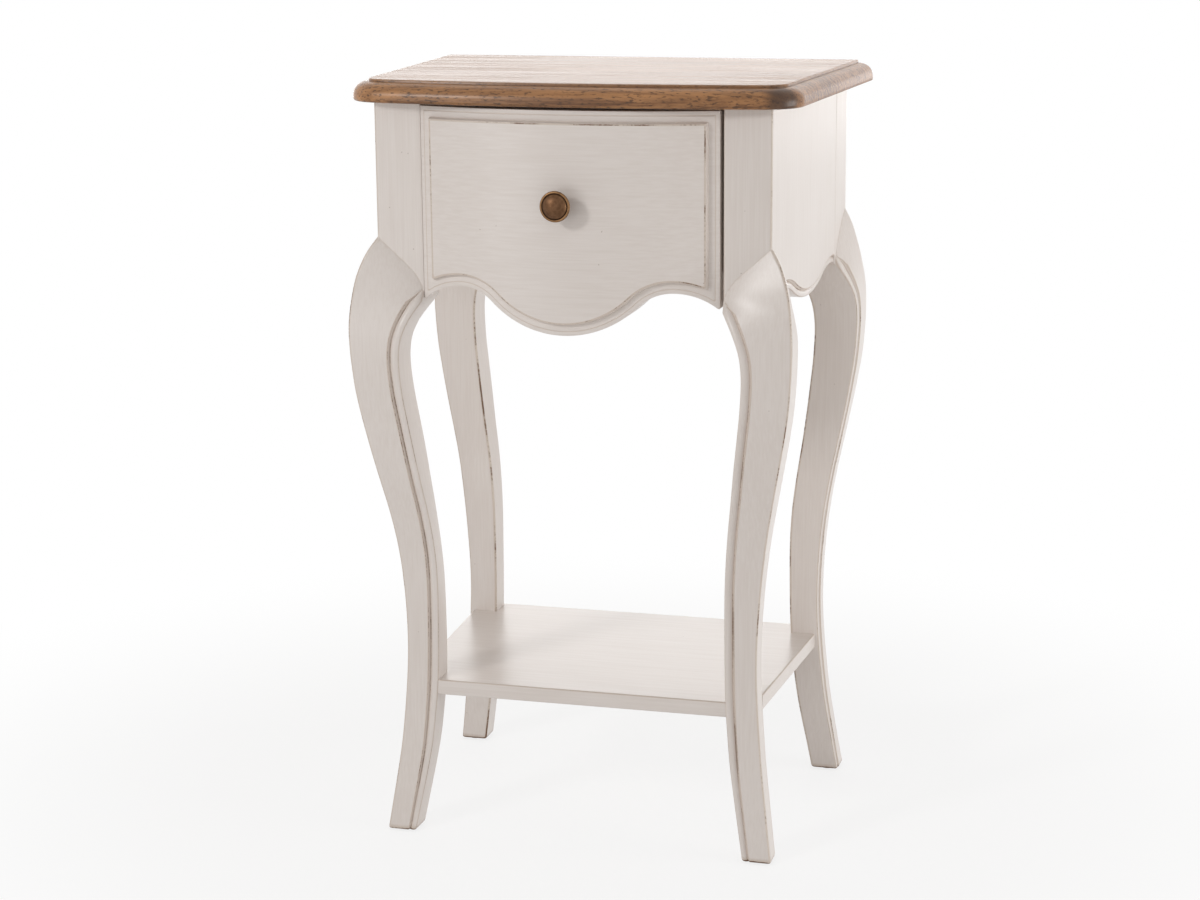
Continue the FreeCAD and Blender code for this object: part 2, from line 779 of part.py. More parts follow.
leg_holes = group("leg_holes", [frame_holes, shelf_holes])
for kind, y_post, outward, curve in LEG_KINDS:
    right = make_leg(f"leg_{kind}_right", y_post, outward, curve)
    left = mirrored(f"leg_{kind}_left", right)
    nodes += [drilled(leg.Label, leg, leg_holes) for leg in (right, left)]

apron = make_side_apron("side_apron_right")
frame_pieces = [
    apron,
    mirrored("side_apron_left", apron),
    make_back_panel("back_panel"),
    make_rail("drawer_rail", rail_lows[0]),
    make_rail("front_top_rail", rail_lows[1]),
]
nodes += [drilled(piece.Label, piece, frame_holes) for piece in frame_pieces]
nodes.append(drilled("shelf", make_shelf("shelf"), shelf_holes))

kicker = make_kicker("kicker_right")
top_pieces = [make_top("top_board"), kicker, mirrored("kicker_left", kicker)]
nodes += [drilled(piece.Label, piece, top_holes) for piece in top_pieces]

runner = make_runner("drawer_runner_right")
nodes += [runner, mirrored("drawer_runner_left", runner)]

drawer_side = make_drawer_side("drawer_side_right")
box_pieces = [drawer_side, mirrored("drawer_side_left", drawer_side), make_drawer_back("drawer_back")]
nodes += [drilled(piece.Label, piece, drawer_holes) for piece in box_pieces]
nodes.append(make_drawer_bottom("drawer_bottom"))
front_holes = group("drawer_front_holes", [drawer_holes, knob_hole])
nodes.append(drilled("drawer_front", make_drawer_front("drawer_front"), front_holes))
nodes.append(drilled("knob", make_knob("knob"), knob_hole))

doc.recompute()

# Nothing is written unless every object and every solid is sound
for item in doc.Objects:
    if "Invalid" in item.State or "Error" in item.State:
        raise RuntimeError(f"{item.Label} failed: {item.State}")
for node in nodes:
    if node.Shape.isNull() or not node.Shape.isValid() or not node.Shape.Solids:
        raise RuntimeError(f"{node.Label} has no sound solid")

os.makedirs("parts", exist_ok=True)
for node in nodes:
    node.Shape.exportStep(f"parts/{node.Label}.step")
    print(f"{node.Label}: {len(node.Shape.Solids)} solids, {node.Shape.Volume:.0f} mm3")
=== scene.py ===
import math
from collections import namedtuple

import bmesh
import bpy
from mathutils import Matrix, Vector
from mathutils.kdtree import KDTree


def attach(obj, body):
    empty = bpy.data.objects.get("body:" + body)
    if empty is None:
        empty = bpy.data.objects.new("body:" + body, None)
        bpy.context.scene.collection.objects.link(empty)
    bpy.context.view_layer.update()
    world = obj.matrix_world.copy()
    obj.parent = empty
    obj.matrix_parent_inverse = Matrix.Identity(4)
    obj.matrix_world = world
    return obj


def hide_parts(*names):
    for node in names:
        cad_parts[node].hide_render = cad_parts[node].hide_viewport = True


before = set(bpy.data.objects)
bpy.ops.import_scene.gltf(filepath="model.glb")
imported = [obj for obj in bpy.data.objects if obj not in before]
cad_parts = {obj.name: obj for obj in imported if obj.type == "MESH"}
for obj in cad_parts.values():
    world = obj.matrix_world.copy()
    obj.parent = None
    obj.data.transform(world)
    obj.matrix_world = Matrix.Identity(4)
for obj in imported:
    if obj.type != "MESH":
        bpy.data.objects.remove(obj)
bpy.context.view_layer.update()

# Lines of the case in millimetres; its sides splay towards the back
MM = 0.001
POST_FRONT = -128.5
POST_REAR = 169.5
POST_WIDTH = 46.0
POST_FOOT = 549.0
UNDER_TOP = 729.0
HALF_FRONT = 192.0
REAR_SPLAY = 15.5
FLARE = REAR_SPLAY / (POST_REAR - POST_FRONT)

# Front leg to the side: height, then how far its arris, its face's far end and its inner edge stand out
SIDE_SWEEP = (
    (1.5, 4, 4, 21.2), (30, 0, 0, 16.1), (60, -4.2, -4.2, 10.7), (90, -8.1, -8.1, 5.9),
    (120, -10.9, -10.9, 2.7), (150, -13.2, -13.2, 0.2), (180, -14.7, -14.7, -0.9),
    (210, -14.7, -14.7, -1.4), (240, -13.3, -13.3, -1.7), (270, -10.9, -10.9, -1.4),
    (300, -7.3, -7.3, 0.4), (330, -2.5, -2.5, 3.6), (360, 3.4, 3.4, 7.7), (390, 9.4, 9.2, 11.5),
    (420, 15.2, 14.4, 15.4), (450, 20.1, 18.4, 19.1), (480, 23, 20, 20.8), (500, 24, 19.4, 19.2),
    (515, 24.2, 17, 14.6), (530, 23.4, 10.6, 7.2), (537, 22.8, 6.6, 2.6), (541, 22.3, 4.2, 0.6),
    (549, 21.3, -0.6, 0.6), (565, 18.2, -7, 1), (585, 10.9, -16, 2), (604, -1, -26, 2),
)

# Rear leg to the side, with the same four numbers
REAR_SIDE_SWEEP = (
    (1.5, 4, 4, 21.2), (30, -0.6, 0, 16.4), (60, -4.9, -4.2, 11.2), (90, -8.9, -8.1, 6.5),
    (120, -11.8, -10.9, 3.4), (150, -14.2, -13.2, 1), (180, -15.7, -14.7, -0.1),
    (210, -15.7, -14.7, -0.5), (240, -14.2, -13.3, -0.6), (270, -11.7, -10.9, 0),
    (300, -8, -7.3, 2.2), (330, -3.2, -2.5, 5.8), (360, 2.7, 3.4, 10.2), (390, 8.6, 9.4, 14),
    (420, 14.2, 15, 17.6), (450, 19, 19.8, 20.9), (480, 21.5, 22.6, 22.4), (500, 22, 22.9, 20.8),
    (515, 21.7, 21.2, 16.8), (530, 20.4, 15, 10.6), (540, 18.8, 8.8, 6.4), (549, 17, 3.2, 2.8),
    (556, 15.6, -0.6, 1.6), (570, 12, -6.5, 1), (585, 7.6, -14, 2), (604, -1, -24, 2),
)

# Front leg to the front
FRONT_SWEEP = (
    (1.5, 5, 5, 23), (30, 0.6, 0.6, 18), (60, -4.3, -4.3, 13), (90, -8, -8, 8.6),
    (120, -10.4, -10.4, 5.6), (150, -12, -12, 3.4), (200, -13.2, -13.2, 2),
    (250, -13.2, -13.2, 1.5), (290, -10.6, -10.6, 2.5), (330, -3.9, -3.9, 5.6),
    (360, 2.8, 2.8, 9.4), (390, 8.9, 8.9, 13), (420, 13.6, 13.6, 16.9), (450, 18.2, 18, 20.5),
    (480, 21.1, 20.9, 22), (500, 22.3, 21.6, 20.5), (515, 22.4, 20.2, 16.4),
    (525, 21.5, 16.8, 12.2), (535, 19.9, 11, 7.8), (543, 18.5, 5, 4.2), (549, 17.4, 0, 1.6),
    (565, 14.2, -7, 2), (585, 7.2, -16.5, 3), (604, -1, -27, 3),
)

# Rear leg to the back, where its curve is shallower
BACK_SWEEP = (
    (1.5, 3.1, 3.1, 22), (30, -0.6, -0.6, 18), (60, -4.9, -4.9, 13), (120, -11.3, -11.3, 5.9),
    (150, -13.2, -13.2, 4.2), (200, -14.7, -14.7, 2.4), (250, -14.2, -14.2, 1.3),
    (290, -11, -11, 2.8), (330, -5.4, -5.4, 6.6), (390, 1.2, 1.2, 9.5), (450, 4.4, 4.1, 11),
    (490, 5.6, 5.1, 11), (515, 5.8, 4.7, 8.6), (535, 5, 2.4, 3.8), (549, 4.2, 0, 0.6),
    (565, 3.2, -5, 4.4), (585, 1.6, -11, 5.5), (604, -1, -18, 5.5),
)

# Height, then how much further out a leg's inner edge stands at its back than at its front
FRONT_TAPER = (
    (1.5, -0.6), (120, 0), (180, 0.5), (240, 2.2), (310, 4.2), (375, 2.6), (440, 1.8), (490, 2.3),
    (515, 1), (530, -2), (540, -3.5), (549, -3.5), (553, 0), (604, 0),
)
REAR_TAPER = ((1.5, 0), (604, 0))

# Bead along an inner edge: distance from the edge, height over the field, rubbing
BEAD = (
    (0, -3.8, 0.2), (0.35, -2.7, 1), (0.9, -2.1, 0.4), (1.6, -1.65, 0.05), (3.2, -1.2, 0),
    (5, -1.4, 0), (6.6, -2.1, 0.05), (7.5, -3, 0.2), (8.2, -3.5, 1.02), (8.8, -3.3, 0.85),
    (9.5, -1.9, 0.3), (10, -0.6, 0.95), (10.6, 0, 0.85), (11.4, 0, 0.1), (13, 0, 0),
)

# Rounded arris, with the same three numbers
ARRIS = (
    (0, -3.6, 0), (0, -1.8, 0.3), (0.25, -0.95, 0.9), (0.95, -0.25, 0.9), (1.8, 0, 0.3),
    (3.6, 0, 0),
)

# Front posts' edges beside the drawer: nearly sharp on the left; rounded on the right, where the
# rubbing is partly worn paint and partly painted shade on the rounding
POST_EDGES = {
    "left": ((0, -3, 0), (0, -0.4, 0.15), (0.1, -0.1, 0.3), (0.4, 0, 0.15), (3, 0, 0)),
    "right": (
        (0, -5, 0.8), (0, -3.2, 1), (0.3, -1.9, 1), (0.95, -0.95, 0.6), (1.9, -0.3, 0.2),
        (3.2, 0, 0), (5, 0, 0),
    ),
}

# Nearly sharp edge where a post meets its side panel
JOINT_EDGE = ((0, -1.5, 0), (0, -0.4, 0), (0.4, 0, 0), (1.5, 0, 0))

# Inner corner of a leg: share and millimetres of its width, the same of its depth, rubbing
INNER_CORNER = (
    (0, 3, 0, 0, 0), (0, 1.2, 0, 0, 0.95), (0, 0, 0, 1.2, 0.95), (0, 0, 0, 3, 0),
)


# Meshes

def outer_x(y):
    return HALF_FRONT + FLARE * (y - POST_FRONT)


def spread(low, high, count):
    return [low + (high - low) * index / (count - 1) for index in range(count)]


def smooth_row(rows, height):
    """A row of a sweep at any height, on a smooth curve through its rows."""
    last = len(rows) - 2
    index = max(0, min(last, sum(row[0] <= height for row in rows) - 1))
    before, low, high, after = (rows[max(0, min(last + 1, index + step))] for step in (-1, 0, 1, 2))
    span = high[0] - low[0]
    share = (height - low[0]) / span
    values = []
    for column in range(1, len(low)):
        start = (high[column] - before[column]) / (high[0] - before[0]) * span
        end = (after[column] - low[column]) / (after[0] - low[0]) * span
        rise = high[column] - low[column]
        square = 3 * rise - 2 * start - end
        cubic = start + end - 2 * rise
        values.append(low[column] + share * (start + share * (square + share * cubic)))
    return values


def extruded_ring(shape, ring):
    edges = [shape.edges.get(pair) for pair in zip(ring, ring[1:] + ring[:1])]
    made = bmesh.ops.extrude_edge_only(shape, edges=edges)["geom"]
    fresh = {item for item in made if isinstance(item, bmesh.types.BMVert)}
    return [next(e.other_vert(v) for e in v.link_edges if e.other_vert(v) in fresh) for v in ring]


def extruded_skin(rows):
    """A closed skin extruded from ring to ring; a ring lists its places and their rubbing."""
    shape = bmesh.new()
    wear = shape.verts.layers.float.new("wear")
    ring = [shape.verts.new() for _ in rows[0]]
    shape.faces.new(ring)
    for index, row in enumerate(rows):
        if index:
            ring = extruded_ring(shape, ring)
        for vert, (spot, rubbing) in zip(ring, row):
            vert.co = spot
            vert[wear] = rubbing
    shape.faces.new(ring)
    return shape, ring


# How much darker the paint is made along the seam where a leg meets its post
SEAM_DARKENING = 0.5
SAME_SPOT = 0.02

# Angles, in degrees, from which an edge stays crisp
CREASE = 35
DRAWER_CREASE = 30
TOP_CREASE = 40
KNOB_CREASE = 50


def soften(shape, sharp):
    """Smooth shading that keeps edges over an angle, and the seams between marked parts, crisp."""
    part = shape.faces.layers.int.get("part")
    limit = math.radians(sharp)
    for face in shape.faces:
        face.smooth = True
    for edge in shape.edges:
        seam = part is not None and len({face[part] for face in edge.link_faces}) > 1
        edge.smooth = not seam and edge.calc_face_angle(math.pi) < limit
        if seam:
            darken_seam(shape, edge)


def darken_seam(shape, edge):
    wear = shape.verts.layers.float["wear"]
    for vert in edge.verts:
        vert[wear] = max(vert[wear], SEAM_DARKENING)


def finish_piece(shape, name, body, nodes, finishes, mirror=False, sharp=CREASE):
    """Makes the piece: metres, normals outward, and a second finish on faces marked for it."""
    bmesh.ops.scale(shape, vec=(-MM if mirror else MM, MM, MM), verts=shape.verts)
    bmesh.ops.recalc_face_normals(shape, faces=shape.faces)
    soften(shape, sharp)
    mesh = bpy.data.meshes.new(name)
    shape.to_mesh(mesh)
    shape.free()
    for finish in finishes:
        mesh.materials.append(finish)
    piece = bpy.data.objects.new(name, mesh)
    bpy.context.scene.collection.objects.link(piece)
    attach(piece, body)
    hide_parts(*nodes)


def rubbing_map(shapes):
    """The rubbing of every vertex, to be found again by its place."""
    rubbings = []
    for shape in shapes:
        wear = shape.verts.layers.float["wear"]
        rubbings += [(vert.co.copy(), vert[wear]) for vert in shape.verts]
    spots = KDTree(len(rubbings))
    for index, (spot, _) in enumerate(rubbings):
        spots.insert(spot, index)
    spots.balance()
    return spots, rubbings


def united(shapes):
    """One mesh from two overlapping ones, with the faces of each marked by its number."""
    spots, rubbings = rubbing_map(shapes)
    blanks = []
    for number, shape in enumerate(shapes):
        part = shape.faces.layers.int.new("part")
        for face in shape.faces:
            face[part] = number
        bmesh.ops.recalc_face_normals(shape, faces=shape.faces)
        mesh = bpy.data.meshes.new("blank")
        shape.to_mesh(mesh)
        shape.free()
        blank = bpy.data.objects.new("blank", mesh)
        bpy.context.scene.collection.objects.link(blank)
        blanks.append(blank)
    union = blanks[0].modifiers.new("union", "BOOLEAN")
    union.operation = "UNION"
    union.solver = "EXACT"
    union.object = blanks[1]
    graph = bpy.context.evaluated_depsgraph_get()
    joined = bmesh.new()
    joined.from_mesh(blanks[0].evaluated_get(graph).to_mesh())
    for blank in blanks:
        bpy.data.meshes.remove(blank.data)
    wear = joined.verts.layers.float["wear"]
    for vert in joined.verts:
        _, index, far = spots.find(vert.co)
        vert[wear] = rubbings[index][1] if far < SAME_SPOT else 0.0
    return joined


# Shader wiring

SEEN_RAYS = ("Is Camera Ray", "Is Glossy Ray", "Is Transmission Ray")

# Numbers of a Mix node's sockets for colours, which share their names with others
MIX_FACTOR = 0
MIX_FIRST = 6
MIX_SECOND = 7
MIX_RESULT = 2


class Wire:
    """A socket that adds Math nodes when it is used in sums."""

    def __init__(self, net, socket):
        self.net = net
        self.socket = socket

    def __add__(self, other):
        return self.net.maths("ADD", self, other)

    def __sub__(self, other):
        return self.net.maths("SUBTRACT", self, other)

    def __rsub__(self, other):
        return self.net.maths("SUBTRACT", other, self)

    def __mul__(self, other):
        return self.net.maths("MULTIPLY", self, other)

    __radd__ = __add__
    __rmul__ = __mul__


class Net:
    """The nodes of one material or of the world."""

    def __init__(self, owner):
        owner.use_nodes = True
        self.tree = owner.node_tree
        self.tree.nodes.clear()

    def node(self, kind, settings=None, values=None, output=0):
        item = self.tree.nodes.new(kind)
        for name, value in (settings or {}).items():
            setattr(item, name, value)
        for name, value in (values or {}).items():
            socket = item.inputs[name]
            if isinstance(value, Wire):
                self.tree.links.new(value.socket, socket)
            else:
                socket.default_value = value
        return Wire(self, item.outputs[output]) if len(item.outputs) else item

    def maths(self, operation, first, second, clamp=False):
        settings = {"operation": operation, "use_clamp": clamp}
        return self.node("ShaderNodeMath", settings, {0: first, 1: second})

    def mix(self, factor, first, second):
        settings = {"data_type": "RGBA", "clamp_factor": True}
        values = {MIX_FACTOR: factor, MIX_FIRST: first, MIX_SECOND: second}
        return self.node("ShaderNodeMix", settings, values, MIX_RESULT)

    def ramp(self, value, low, high, first=0.0, last=1.0):
        values = {"Value": value, "From Min": low, "From Max": high, "To Min": first, "To Max": last}
        return self.node("ShaderNodeMapRange", {"interpolation_type": "SMOOTHSTEP"}, values)

    def place(self, scale=(1, 1, 1), shift=(0, 0, 0)):
        spot = self.node("ShaderNodeTexCoord", output="Object")
        values = {"Vector": spot, "Scale": scale, "Location": shift}
        return self.node("ShaderNodeMapping", None, values)

    def noise(self, place, scale, detail=3.0, rough=0.55, distort=0.0):
        values = {"Vector": place, "Scale": scale, "Detail": detail, "Roughness": rough}
        values["Distortion"] = distort
        return self.node("ShaderNodeTexNoise", None, values)

    def far_from(self, spot):
        place = self.node("ShaderNodeTexCoord", output="Object")
        settings = {"operation": "DISTANCE"}
        return self.node("ShaderNodeVectorMath", settings, {0: place, 1: spot}, "Value")

    def wear(self):
        return self.node("ShaderNodeAttribute", {"attribute_name": "wear"}, output="Fac")

    def bump(self, height, strength, distance):
        values = {"Height": height, "Strength": strength, "Distance": distance}
        return self.node("ShaderNodeBump", None, values)

    def seen(self):
        """One for rays that show the background: from the camera, reflected or through glass."""
        camera, glossy, clear = (self.node("ShaderNodeLightPath", output=ray) for ray in SEEN_RAYS)
        return self.maths("ADD", camera + glossy, clear, clamp=True)

    def surface(self, values):
        shader = self.node("ShaderNodeBsdfPrincipled", None, values)
        self.node("ShaderNodeOutputMaterial", None, {"Surface": shader})


def colour(red, green, blue):
    return (red, green, blue, 1.0)


def new_finish(name):
    material = bpy.data.materials.new(name)
    return material, Net(material)


# Finishes

PAINT_PALE = colour(0.8, 0.745, 0.708)
PAINT_SHADE = colour(0.752, 0.69, 0.648)
PAINT_GLAZE = colour(0.58, 0.475, 0.385)
RUBBED_WOOD = colour(0.17, 0.092, 0.052)


def painted(name, streaks):
    """Off-white paint, brushed along one way, with the wood showing where edges are rubbed."""
    material, net = new_finish(name)
    brush = net.noise(net.place(scale=streaks), scale=1.0, detail=3.0, rough=0.6)
    cloud = net.noise(net.place(), scale=7.0, detail=2.0)
    paint = net.mix(net.ramp(brush * 0.6 + cloud * 0.4, 0.32, 0.66), PAINT_SHADE, PAINT_PALE)
    wear = net.wear()
    patch = net.noise(net.place(), scale=24.0, detail=2.0)
    grit = net.noise(net.place(), scale=380.0, detail=3.0, rough=0.7)
    glazed = net.mix(net.ramp(wear, 0.1, 0.9) * 0.6, paint, PAINT_GLAZE)
    rub = net.ramp(wear * 0.8 + patch * 0.55 + grit * 0.3, 1.16, 1.28)
    speck = net.ramp(net.noise(net.place(), scale=330.0, detail=0.0), 0.9, 0.92)
    base = net.mix(rub + speck * 0.4, glazed, RUBBED_WOOD)
    net.surface({
        "Base Color": base,
        "Roughness": 0.29 + cloud * 0.05 + rub * 0.3,
        "Normal": net.bump(brush * 0.5 + grit * 0.12 - rub * 0.5, strength=0.12, distance=0.0005),
    })
    return material


TOP_DARK = colour(0.105, 0.039, 0.012)
TOP_PALE = colour(0.56, 0.27, 0.105)
TOP_FIBRE = colour(0.47, 0.24, 0.105)
TOP_WAX_AND_SHEEN = colour(0.45, 0.31, 0.22)
TOP_PORE = colour(0.055, 0.026, 0.013)
TOP_CORNER_SHADE = colour(0.045, 0.022, 0.013)
TOP_GROOVE = colour(0.05, 0.025, 0.013)

# Heights, in metres, between which a painted sheen pales the moulding (lower down on its left) and the
# waxed flat begins
TOP_SHEEN_HEIGHTS = (0.734, 0.746)
TOP_FLAT = (0.7482, 0.7498)

# Middle of the painted shade at the right front corner, where the moulding turns quickly
TOP_CORNER_SHADE_MIDDLE = (0.205, -0.136, 0.738)


def stained_top(name):
    """Brown stained timber: grain, dark pores, a polish fullest on the flat, and painted sheen and
    shade.
    """
    material, net = new_finish(name)
    wander = net.noise(net.place(scale=(1.5, 9, 9)), scale=2.0, detail=2.0)
    rings = net.noise(net.place(scale=(1.6, 60, 60)), scale=3.0, detail=4.0, rough=0.6, distort=0.5)
    bands = net.ramp(rings * 0.75 + wander * 0.3, 0.36, 0.68)
    fibre = net.noise(net.place(scale=(14, 420, 420)), scale=1.6, detail=3.0, rough=0.6)
    lines = net.place(scale=(1.6, 42, 42), shift=(3, 1, 2))
    streaks = net.ramp(net.noise(lines, scale=2.0, detail=4.0, rough=0.65), 0.42, 0.64)
    pits = net.noise(net.place(scale=(170, 620, 620)), scale=1.0, detail=2.0)
    pores = net.ramp(pits, 0.54, 0.66)
    height = net.node("ShaderNodeSeparateXYZ", None, {"Vector": net.place()}, "Z")
    across = net.node("ShaderNodeSeparateXYZ", None, {"Vector": net.place()}, "X")
    # Painted sheen: the moulding is painted paler towards its top, and lower down towards its left,
    # where the light falls on it
    pale = net.ramp(height - across * 0.035 + wander * 0.006, *TOP_SHEEN_HEIGHTS)
    flat = net.ramp(height, *TOP_FLAT)
    brown = net.mix(bands * 0.6 + pale * 0.42, TOP_DARK, TOP_PALE)
    streaked = net.mix(net.ramp(fibre, 0.38, 0.68) * 0.4, brown, TOP_FIBRE)
    # The flat is painted paler, partly as wax and partly as a painted reflection
    waxed_and_sheen = net.mix(flat * 0.34, streaked, TOP_WAX_AND_SHEEN)
    pored = net.mix(pores * (0.75 - flat * 0.45), waxed_and_sheen, TOP_PORE)
    # Painted shade: a dark patch at the right front corner of the moulding
    corner_shade = net.ramp(net.far_from(TOP_CORNER_SHADE_MIDDLE) + wander * 0.012, 0.016, 0.03, 1.0, 0.0)
    base = net.mix(corner_shade * 0.8, pored, TOP_CORNER_SHADE)
    groove = net.mix(net.wear() * 0.7, base, TOP_GROOVE)
    net.surface({
        "Base Color": groove,
        "Roughness": 0.34 + fibre * 0.1,
        "Specular IOR Level": 0.2,
        "Normal": net.bump(fibre * 0.3 - pores, strength=0.2, distance=0.0005),
        "Coat Weight": 0.46 + flat * (0.13 - streaks * 0.44) - pores * 0.06,
        "Coat Roughness": 0.27,
    })
    return material


TIMBER_DARK = colour(0.54, 0.39, 0.24)
TIMBER_PALE = colour(0.7, 0.55, 0.38)
TIMBER_FIBRE = colour(0.38, 0.25, 0.14)
FIBRE_FINENESS = 6


def bare_timber(name, streaks):
    material, net = new_finish(name)
    rings = net.noise(net.place(scale=streaks), scale=1.0, detail=4.0, rough=0.6, distort=0.4)
    fine_streaks = tuple(FIBRE_FINENESS * value for value in streaks)
    fibre = net.noise(net.place(scale=fine_streaks), scale=2.0, detail=3.0)
    base = net.mix(net.ramp(rings, 0.35, 0.68), TIMBER_DARK, TIMBER_PALE)
    net.surface({
        "Base Color": net.mix(net.ramp(fibre, 0.5, 0.75) * 0.35, base, TIMBER_FIBRE),
        "Roughness": 0.6 + fibre * 0.15,
        "Normal": net.bump(fibre, strength=0.15, distance=0.0004),
    })
    return material


BRASS_DARK = colour(0.105, 0.052, 0.025)
BRASS_BROWN = colour(0.16, 0.083, 0.043)
BRASS_BRIGHT = colour(0.4, 0.23, 0.105)
BRASS_GROOVE = colour(0.012, 0.007, 0.004)


def aged_brass(name):
    """Dark mottled brass; the rubbing is bright where it is above zero and a dark groove below."""
    material, net = new_finish(name)
    mottle = net.noise(net.place(), scale=260.0, detail=4.0, rough=0.65)
    dark = net.mix(net.ramp(mottle, 0.35, 0.7), BRASS_DARK, BRASS_BROWN)
    wear = net.wear()
    base = net.mix(wear * net.ramp(mottle, 0.2, 0.5), dark, BRASS_BRIGHT)
    dirty = net.mix(0 - wear, base, BRASS_GROOVE)
    net.surface({
        "Base Color": dirty,
        "Metallic": 0.9,
        "Roughness": 0.35 + mottle * 0.14 - wear * 0.08,
        "Normal": net.bump(mottle, strength=0.08, distance=0.0003),
    })
    return material


STEEL_DARK = colour(0.42, 0.42, 0.43)
STEEL_PALE = colour(0.58, 0.58, 0.59)


def plain_steel(name):
    material, net = new_finish(name)
    brush = net.noise(net.place(scale=(300, 300, 40)), scale=2.0, detail=3.0)
    base = net.mix(brush, STEEL_DARK, STEEL_PALE)
    net.surface({"Base Color": base, "Metallic": 1.0, "Roughness": 0.3 + brush * 0.2})
    return material


FELT_DARK = colour(0.09, 0.055, 0.035)
FELT_PALE = colour(0.17, 0.11, 0.075)


def felt_pad(name):
    material, net = new_finish(name)
    grain = net.noise(net.place(), scale=500.0, detail=3.0)
    net.surface({
        "Base Color": net.mix(grain, FELT_DARK, FELT_PALE),
        "Roughness": 0.7 + grain * 0.1,
        "Normal": net.bump(grain, strength=0.2, distance=0.0003),
    })
    return material


paint_upright = painted("paint_brushed_upright", (520, 520, 12))
paint_across = painted("paint_brushed_across", (12, 260, 420))
top_timber = stained_top("stained_top_timber_painted_sheen_and_shade")
timber_across = bare_timber("bare_timber_across", (3, 40, 40))
timber_deep = bare_timber("bare_timber_deep", (40, 3, 40))
knob_brass = aged_brass("aged_knob_brass")
screw_steel = plain_steel("screw_steel")
glide_felt = felt_pad("glide_felt")


# Legs

FLARE_FADES = 400.0
BEAD_RUN = 11.0
BEAD_FOOT_SHARE = 0.7
BEAD_WIDENS = 500.0
LEAST_BEAD = 0.02
FRONT_BEAD_TOP = 551.0
REAR_BEAD_TOP = 557.5
POST_RINGS = 37
FACE_END = 0.88
FACE_STEPS = 14
FACE_PARTS = [(step / FACE_STEPS) ** 2 for step in range(1, FACE_STEPS + 1)]
KNEE_TOP = 604.0
LEG_RINGS = 104
FOOT = SIDE_SWEEP[0][0]
FIRST_RING = FOOT + 6

# Rounded end of a foot: height, how far the section shrinks, rubbing
FOOT_ROUNDING = (
    (FOOT, 0.1, 1.1), (FOOT + 0.4, 0.06, 1.1), (FOOT + 1.2, 0.02, 1.1), (FOOT + 2.6, 0, 0.7),
)


def section(face_edge, side_edge, share=1.0):
    """Points round a leg, each with the five numbers of its inner corner's points."""
    face_start = face_edge[-1][0] * share
    side_start = side_edge[-1][0] * share
    face = [(0, along * share, 1, height * share, rubbing) for along, height, rubbing in face_edge]
    face += [(FACE_END * part, face_start * (1 - part), 1, 0, 0) for part in FACE_PARTS]
    outer = [(1, -along, 1, height, rubbing) for along, height, rubbing in reversed(ARRIS[1:])]
    outer += [(1, 0, 1, -ARRIS[-1][0], 0)]
    side = [(1, 0, FACE_END * part, side_start * (1 - part), 0) for part in reversed(FACE_PARTS)]
    side += [(1, height * share, 0, along * share, rubbing)
             for along, height, rubbing in reversed(side_edge)]
    return list(INNER_CORNER) + face + outer + side


def swell(share):
    """How far a face crowns over the straight line between its two edges."""
    return math.sqrt(max(0, share)) - share


def leg_spot(point, height, shrink, y_post, outward, sweeps):
    """Place of a section's point at a height; the section shrinks to its middle at the foot."""
    width, width_mm, depth, depth_mm, _ = point
    to_side, to_front, (taper,) = (smooth_row(sweep, height) for sweep in sweeps)
    out_x, face_x, in_x = to_side
    out_y, face_y, in_y = to_front
    y_in = y_post - (POST_WIDTH - in_y) * outward
    outside = outer_x(y_post)
    flared = max(0, min(1, (height - FLARE_FADES) / (POST_FOOT - FLARE_FADES)))
    outside_in = outside + FLARE * (y_in - y_post) * flared
    arris = Vector((outside + out_x, y_post + out_y * outward, height))
    face = Vector((outside - POST_WIDTH + in_x, y_post + face_y * outward, height))
    side = Vector((outside_in + face_x, y_in, height))
    inside = Vector((outside_in - POST_WIDTH + in_x + taper, y_in, height))
    across = width + width_mm / (POST_WIDTH + face_x - in_x)
    deep = depth + depth_mm / (POST_WIDTH + face_y - in_y)
    spot = inside.lerp(side, across).lerp(face.lerp(arris, across), deep)
    spot.x += (out_x - face_x) * swell(deep) * across
    spot.y += (out_y - face_y) * swell(across) * deep * outward
    return spot.lerp((arris + inside) / 2, shrink)


def post_spot(point, height, y_post, outward):
    width, width_mm, depth, depth_mm, _ = point
    y = y_post - outward * (POST_WIDTH * (1 - depth) - depth_mm)
    return Vector((outer_x(y) - POST_WIDTH * (1 - width) + width_mm, y, height))


def bead_share(height, bead_top):
    """Size of the bead at a height: it runs out at its top and is slimmer towards the foot."""
    run_out = (bead_top - height) / BEAD_RUN
    return max(LEAST_BEAD, min(1, run_out, BEAD_FOOT_SHARE + height / BEAD_WIDENS))


def make_leg(kind, side, y_post, outward, sweeps, bead_top, face_edges):
    """A curved leg that runs up into its square post, with a bead that ends near the post's foot."""
    leg_edge, post_edge = face_edges
    rows = []
    plain_levels = [(height, 0, 0) for height in spread(FIRST_RING, KNEE_TOP, LEG_RINGS)]
    for height, shrink, rubbing in list(FOOT_ROUNDING) + plain_levels:
        row = []
        for point in section(leg_edge, BEAD, bead_share(height, bead_top)):
            spot = leg_spot(point, height, shrink, y_post, outward, sweeps)
            row.append((spot, max(rubbing, point[-1])))
        rows.append(row)
    square = section(post_edge, JOINT_EDGE)
    post_rows = [[(post_spot(point, height, y_post, outward), point[-1]) for point in square]
                 for height in spread(POST_FOOT, UNDER_TOP, POST_RINGS)]
    leg = united([extruded_skin(rows)[0], extruded_skin(post_rows)[0]])
    name = f"leg_{kind}_{side}"
    finish_piece(leg, name + "_carved", "case", [name], [paint_upright], side == "left")


